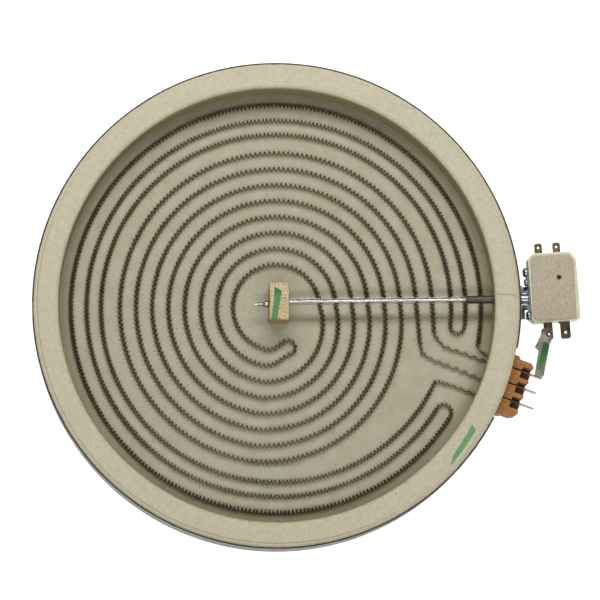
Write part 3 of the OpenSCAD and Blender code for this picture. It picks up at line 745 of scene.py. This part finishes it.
# ---------------------------------------------------------------- the ring
def ring_piece():
    n = 1440
    crack = [(137.3, 6.35), (142.0, 6.35), (146.7, 6.15), (149.2, 5.6), (151.5, 4.7)]
    cr = np.array([math.hypot(*p) for p in crack])
    ct = np.array([math.degrees(math.atan2(p[1], p[0])) for p in crack])
    profile = [(RING_IN, z) for z in (13.0, 15.5, 18.0, 20.5, 23.0, 25.5, 28.0, 30.0, 31.6, 32.8)]
    profile += [(135.9, 33.45), (136.25, 33.95), (136.7, 34.4), (137.15, 34.72),
                (137.4, 34.62), (137.65, 34.93), (137.95, 35.0)]
    profile += [(r, 35.0) for r in np.arange(138.5, 149.2, 0.62)]
    profile += [(149.3, 34.98), (149.6, 34.7), (149.85, 34.72), (150.3, 34.6),
                (150.8, 34.2), (151.2, 33.75), (151.45, 33.2), (RING_OUT, 32.4),
                (RING_OUT, 27.0), (RING_OUT, 20.0), (RING_OUT, 13.0), (144.0, 13.0)]
    m = len(profile)
    verts = np.zeros((n, m, 3))
    for i in range(n):
        base = 360.0 * i / n
        for k, (r, z) in enumerate(profile):
            # columns near the crack follow it
            t = base
            seen = k >= 10 and k < m - 5
            if seen:
                away = (base - 2.5 + 180) % 360 - 180
                pull = math.exp(-(away / 3.0) ** 2)
                t += (np.interp(max(r, cr[0]), cr, ct) - 2.5) * pull
            a = math.radians(t)
            x, y = r * math.cos(a), r * math.sin(a)
            inner = 1.0 if r < 138.0 else 0.0
            outer = 1.0 if r > 149.0 and z > 31 else 0.0
            if seen:
                s = fbm(x * 0.35, y * 0.35, 3.1)
                fine = fbm(x * 1.6, y * 1.6, 8.4)
                dz = -0.05 - 0.05 * abs(fine) - 0.06 * (0.5 + 0.5 * s)
                chip = max(0.0, fbm(x * 0.22, y * 0.22, 17.0) - 0.28)
                bottom = 1.0 if y < -60 else 0.35
                if inner or outer:
                    dz -= 0.10 * abs(fine) + (1.3 * inner * bottom + 0.5 * outer) * chip
                z = min(35.0, z + dz)
                dr = 0.10 * s + 0.08 * fine
                if inner:
                    r2 = r + 0.12 * s + 0.15 * abs(fine) + 0.9 * chip * bottom
                    r2 = max(r2, RING_IN)
                elif outer:
                    r2 = min(r + 0.5 * dr, RING_OUT) - 0.35 * chip
                else:
                    r2 = r
                x, y = r2 * math.cos(a), r2 * math.sin(a)
                # the crack itself: one column sinks
                away = (base - 2.5 + 180) % 360 - 180
                if abs(away) < 0.13 and r > 137.2:
                    z -= 0.45
            elif z < 33 and r < 136:
                a2 = fbm(math.cos(a) * 40, math.sin(a) * 40, z * 0.12)
                r2 = RING_IN + 0.06 + 0.06 * a2
                x, y = r2 * math.cos(a), r2 * math.sin(a)
            verts[i, k] = (x, y, z)
    verts = verts.reshape(-1, 3)
    faces = []
    for i in range(n):
        j = (i + 1) % n
        for k in range(m):
            q = (k + 1) % m
            faces.append((i * m + k, i * m + q, j * m + q, j * m + k))
    me = mesh_of("ring_sand", verts, faces)
    bm = bmesh.new()
    bm.from_mesh(me)
    bmesh.ops.recalc_face_normals(bm, faces=bm.faces)
    bm.to_mesh(me)
    bm.free()
    tools = [rod_mesh(128, 160, 2.72)]
    for lo, hi in (((126, 12, 12), (156, 18.4, 19.2)), ((126, 1.2, 12), (156, 6.0, 19.2)),
                   ((126, -10.4, 12), (156, -3.8, 19.2))):
        tools.append(box_mesh(lo, hi, BLADE_A))
    for i in (-1, 0, 1):
        v = 4.8 + 9.8 * i
        tools.append(box_mesh((148.4, v - 1, 12), (156.4, v + 1, 22), BLADE_A))
    me = cut(me, tools)
    me.name = "ring_sand"
    return link("ring_sand", me, M["ring"], "ring_insulation",
                angle=60.0)


# ---------------------------------------------------------------- the ribbons
def step_in(f):
    if f < 260:
        return 0.0
    s = (f - 260) / 100
    return s - 0.035 * math.sin(2 * math.pi * s)


def turn(k, a):
    n = math.floor((a - 2) / 360)
    f = a - 2 - 360 * n
    j = k - 2 * n
    if a < 2:
        return TURN_R + TURN_P * k + (5 if k == 7 else 6) * ((2 - a) / 18) ** 1.6
    if j < 2:
        dip = 0.0 if f < 255 else (6.6 if j == 1 else 5.2) * (
            1 - math.cos(math.radians(min(f - 255, 30) * 6))) / 2
        return TURN_R + TURN_P * j - dip
    return TURN_R + TURN_P * (j - 2 * step_in(f))


def arc(c, r, a0, a1, steps=24):
    return [c + pol(r, a0 + (a1 - a0) * t / steps) for t in range(steps + 1)]


def straight(a, b, steps=12):
    a, b = np.array(a, float), np.array(b, float)
    return [a + (b - a) * t / steps for t in range(steps + 1)]


def run(points, half, pitch, height=3.0, lean=0.0):
    """Points of a ribbon's line with what the corrugation is like there."""
    return [(p[0], p[1], half, pitch, height, lean) for p in points]


def ribbon_piece(name, node, line, seed):
    line = np.array(line, float)
    # even out the line, then blend the values along it
    keep = [0]
    for i in range(1, len(line)):
        if np.hypot(*(line[i, :2] - line[keep[-1], :2])) > 0.25:
            keep.append(i)
    line = line[keep]
    seg = np.hypot(*np.diff(line[:, :2], axis=0).T)
    s = np.concatenate([[0], np.cumsum(seg)])
    total = s[-1]
    fine = np.arange(0, total, 0.2)
    dense = np.stack([np.interp(fine, s, line[:, c]) for c in range(6)], 1)
    width = 5
    kernel = np.hanning(2 * width + 3)[1:-1]
    kernel /= kernel.sum()
    padded = np.pad(dense, ((width, width), (0, 0)), mode="edge")
    dense = np.stack([np.convolve(padded[:, c], kernel, "valid") for c in range(6)], 1)
    tangent = np.gradient(dense[:, :2], axis=0)
    tangent /= np.linalg.norm(tangent, axis=1)[:, None]
    # walk along it with a phase
    samples, phase, at = [], 0.0, 0.0
    per = 12
    while at < total - 0.25:
        i = min(int(at / 0.2), len(dense) - 1)
        x, y, half, pitch, height, lean = dense[i]
        tx, ty = tangent[i]
        px, py = -ty, tx
        wob = fbm(at * 0.05, seed, 0.0)
        wob2 = fbm(at * 0.35, seed + 9.0, 0.0)
        p = math.asin(0.90 * math.sin(phase)) / math.asin(0.90)
        off = p * half * (1 + 0.10 * wob + 0.08 * wob2) + 0.12 * wob
        fore = 0.10 * wob2
        tip = 0.10 * fbm(at * 0.22, seed + 4.0, 1.0) + lean
        samples.append((x + px * off + tx * fore, y + py * off + ty * fore,
                        px * tip, py * tip,
                        height - 0.10 * abs(fbm(at * 0.5, seed + 2.0, 0.0))))
        ds = pitch * (1 + 0.07 * wob2) / per
        phase += 2 * math.pi / per
        at += ds
    q = np.array(samples)
    d = np.gradient(q[:, :2], axis=0)
    d /= np.maximum(np.linalg.norm(d, axis=1)[:, None], 1e-9)
    nrm = np.stack([-d[:, 1], d[:, 0]], 1)
    half_t = 0.10
    verts, faces = [], []
    for k in range(len(q)):
        x, y, lx, ly, h = q[k]
        nx, ny = nrm[k] * half_t
        verts += [(x + nx, y + ny, BASE_Z), (x + nx + lx, y + ny + ly, BASE_Z + h),
                  (x - nx + lx, y - ny + ly, BASE_Z + h), (x - nx, y - ny, BASE_Z)]
        if k:
            a, b = 4 * (k - 1), 4 * k
            for u, v in ((0, 1), (1, 2), (2, 3), (3, 0)):
                faces.append((a + u, b + u, b + v, a + v))
    last = 4 * (len(q) - 1)
    faces += [(0, 1, 2, 3), (last + 3, last + 2, last + 1, last)]
    me = mesh_of(name, verts, faces)
    bm = bmesh.new()
    bm.from_mesh(me)
    bmesh.ops.recalc_face_normals(bm, faces=bm.faces)
    bm.to_mesh(me)
    bm.free()
    return link(name, me, M["ribbon"], node, angle=50.0)


HAIR = 1080 + 287
PIN, POUT, HALF = 2.95, 2.45, 1.5


def inner_line():
    out = run(straight(from_block(148.8, 14.0), from_block(107, 13.2), 30), 0.75, 5.8)
    out += run(straight(from_block(106.5, 13.4), pol(turn(7, -9.6), -9.6), 6), 0.9, 4.2)
    out += run([pol(turn(7, a), a) for a in np.arange(-9, HAIR - 1, 0.8)], HALF, PIN)
    hr = TURN_R + TURN_P / 2 - 5.9
    c = pol(hr, HAIR)
    out += run(arc(c, 4.35, HAIR, HAIR + 180), 1.15, PIN)
    out += run([pol(turn(6, a), a) for a in np.arange(HAIR - 1, -13, -0.8)], HALF, PIN)
    out += run(straight(from_block(95.5, 4.4), from_block(100, 3.7), 4), 0.9, 4.2)
    out += run(straight(from_block(101, 3.5), from_block(136, 2.4), 24), 0.85, 5.8, 3.0, -0.35)
    out += run(straight(from_block(137, 2.4), from_block(148.8, 4.6), 10), 0.5, 5.8)
    return out


def outer_line():
    out = run(straight(from_block(148.8, 16.2), from_block(137, 16.6), 8), 0.05, 6.0)
    out += run(straight(from_block(136, 16.9), pol(128.2, -11.2), 8), 0.12, 6.0)
    out += run([pol(128.5, a) for a in np.arange(-10.6, 328, 0.5)], HALF, POUT)
    out += run(arc(pol(123.65, 328), 4.85, 328, 508), 1.25, POUT)
    out += run([pol(118.8, a) for a in np.arange(327.5, -5.4, -0.5)], HALF, POUT)
    out += run(arc(pol(114.3, -5.8), 4.5, -5.8, -185.8), 1.2, POUT)
    out += run([pol(109.8, a) for a in np.arange(-5.3, 330.5, 0.5)], HALF, POUT)
    out += run(straight(from_block(109.3, -9.0), from_block(117, -8.2), 8), 1.1, 2.6)
    out += run(straight(from_block(118, -8.2), from_block(136, -8.0), 14), 0.45, 5.2)
    out += run(straight(from_block(137, -7.8), from_block(148.8, -5), 8), 0.3, 5.8)
    return out


# ---------------------------------------------------------------- centre block
def block_piece():
    lo = np.array([1.3 - 6.2, 1.7 - 11.9, BASE_Z])
    hi = np.array([1.3 + 6.2, 1.7 + 11.9, 34.5])
    bm = bmesh.new()
    bmesh.ops.create_cube(bm, size=1.0)
    for v in bm.verts:
        v.co = Vector(((lo + hi) / 2 + np.array(v.co) * (hi - lo)) * MM)
    bmesh.ops.subdivide_edges(bm, edges=bm.edges, cuts=5, use_grid_fill=True)
    bmesh.ops.subdivide_edges(bm, edges=bm.edges, cuts=4, use_grid_fill=True)
    mid = (lo + hi) / 2
    for v in bm.verts:
        p = np.array(v.co) / MM
        d = (p - mid) / ((hi - lo) / 2)
        hit = np.abs(d) > 0.999
        grain = noise.cell(Vector(p * 0.9 + 40.0))
        rough = 0.5 + 0.5 * fbm(p[0] * 0.9, p[1] * 0.9, p[2] * 0.9)
        push = 0.05 + 0.16 * grain + 0.16 * rough
        # arrises crumble
        close = sorted(((hi - lo) / 2 - np.abs(p - mid)))
        edge = max(0.0, 1.0 - close[1] / 0.7)
        chip = max(0.0, fbm(p[0] * 0.45, p[1] * 0.45, p[2] * 0.45 + 5) - 0.1)
        push += edge * (0.22 + 0.9 * chip)
        if abs(d[2] + 1) < 1e-3:
            hit[2] = False
        n = hit * np.sign(d)
        if np.linalg.norm(n) > 0:
            p -= n * push
        p[2] = max(p[2], BASE_Z)
        v.co = Vector(p * MM)
    bmesh.ops.recalc_face_normals(bm, faces=bm.faces)
    me = bpy.data.meshes.new("centre_block_rough")
    bm.to_mesh(me)
    bm.free()
    me = cut(me, [rod_mesh(-1.5, 12, 2.15), rod_mesh(-8.5, -1.3, 2.8)])
    me.name = "centre_block_rough"
    return link("centre_block_rough", me, M["vermiculite"], "centre_block",
                angle=70.0)


# ---------------------------------------------------------------- build
ring_piece()
ribbon_piece("ribbon_inner_wave", "inner_ribbon", inner_line(), 3.0)
ribbon_piece("ribbon_outer_wave", "outer_ribbon", outer_line(), 21.0)
block_piece()
tube_piece()
rod_piece()
softened("terminal_block", "terminal_block_soft", M["brown"], 0.45, 3)
softened("limiter_body", "limiter_body_soft", M["cream"], 0.45, 3)
softened("limiter_cover", "limiter_cover_soft", M["cover"], 0.3, 3)
softened("link_strap", "link_strap_soft", M["strap"], 0.10, 2)
softened("limiter_bracket", "limiter_bracket_soft", M["zinc"], 0.15, 2)
softened("bracket_screws", "bracket_screws_soft", M["zinc"], 0.18, 3, 25)
softened("bracket_rivet", "bracket_rivet_soft", M["zinc"], 0.2, 3, 25)
softened("guide_bush", "guide_bush_soft", M["zinc"], 0.2, 3)
softened("tube_sleeve", "tube_sleeve_soft", M["sleeve"], 0.12, 2)
softened("end_ferrule", "end_ferrule_soft", M["ferrule"], 0.2, 3)
softened("cover_eyelet", "cover_eyelet_soft", M["copper"], 0.1, 2)
softened("strap_rivet", "strap_rivet_soft", M["rivet"], 0.15, 2)
for n in ("signal_tab_a", "signal_tab_b", "power_tab_a", "power_tab_b"):
    softened(n, n + "_soft", M["tab"], 0.12, 2)
for n in ("blade_1", "blade_2", "blade_3"):
    softened(n, n + "_soft", M["blade"], 0.12, 2)

CAD = {
    "pan": "pan", "base_insulation": "base", "signal_fixed_contact": "bright",
    "power_fixed_contact": "bright", "compression_spring": "bright",
    "plunger": "cream", "signal_leaf": "leaf", "signal_moving_contact": "bright",
    "power_leaf": "leaf", "power_moving_contact": "bright",
}
for n, key in CAD.items():
    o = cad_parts[n]
    o.data.materials.clear()
    o.data.materials.append(M[key])

# ---------------------------------------------------------------- stage
floor_mat = Finish("floor")
tone = floor_mat.ramp(floor_mat.noise(900.0, 2.0), (0.3, (0.80, 0.80, 0.80)),
                      (0.7, (0.82, 0.82, 0.82)))
floor_mat.done(tone, 1.0, 0.0, Specular_IOR_Level=0.0,
               Emission_Color=(1.0, 1.0, 1.0, 1.0), Emission_Strength=0.85)
floor = bpy.data.objects.new("floor", mesh_of(
    "floor", [(-4000, -4000, -0.05), (4000, -4000, -0.05), (4000, 4000, -0.05),
              (-4000, 4000, -0.05)], [(0, 1, 2, 3)]))
floor.data.materials.append(floor_mat.m)
scene.collection.objects.link(floor)

world = bpy.data.worlds.new("studio")
scene.world = world
world.use_nodes = True
bg = world.node_tree.nodes["Background"]
bg.inputs["Color"].default_value = (1.0, 1.0, 1.0, 1.0)
bg.inputs["Strength"].default_value = 0.12


def area(name, pos, aim, size, power, color=(1, 1, 1)):
    data = bpy.data.lights.new(name, "AREA")
    data.shape = "RECTANGLE"
    data.size, data.size_y = size
    data.energy = power
    data.color = color
    ob = bpy.data.objects.new(name, data)
    ob.location = pos
    d = Vector(aim) - Vector(pos)
    ob.rotation_mode = "QUATERNION"
    ob.rotation_quaternion = d.to_track_quat("-Z", "Y")
    scene.collection.objects.link(ob)
    return ob


area("strip_back", (0.0, 0.654, 0.9), (0, 0, 0), (1.3, 0.26), 8.8)
area("strip_front", (0.0, -0.957, 1.8), (0, 0, 0), (2.4, 0.5), 16.5)

scene.view_settings.view_transform = "Standard"
scene.view_settings.look = "None"
scene.view_settings.exposure = 0.0
scene.view_settings.gamma = 1.0

# Camera: long lens from nearly overhead, as the photograph was taken.
cam_data = bpy.data.cameras.new("camera")
cam_data.sensor_width = 36.0
cam_data.lens = 230.9
cam_data.clip_end = 20.0
cam = bpy.data.objects.new("camera", cam_data)
n = Vector((math.tan(math.radians(-2.11)), math.tan(math.radians(-7.25)), 1.0)).normalized()
right = Vector((0, 1, 0)).cross(n).normalized()
up = n.cross(right)
target = Vector((14.85, 4.86, 14.7)) * MM
cam.matrix_world = Matrix.Translation(target + n * 2.4134) @ Matrix(
    (right, up, n)).transposed().to_4x4()
scene.collection.objects.link(cam)
scene.camera = cam
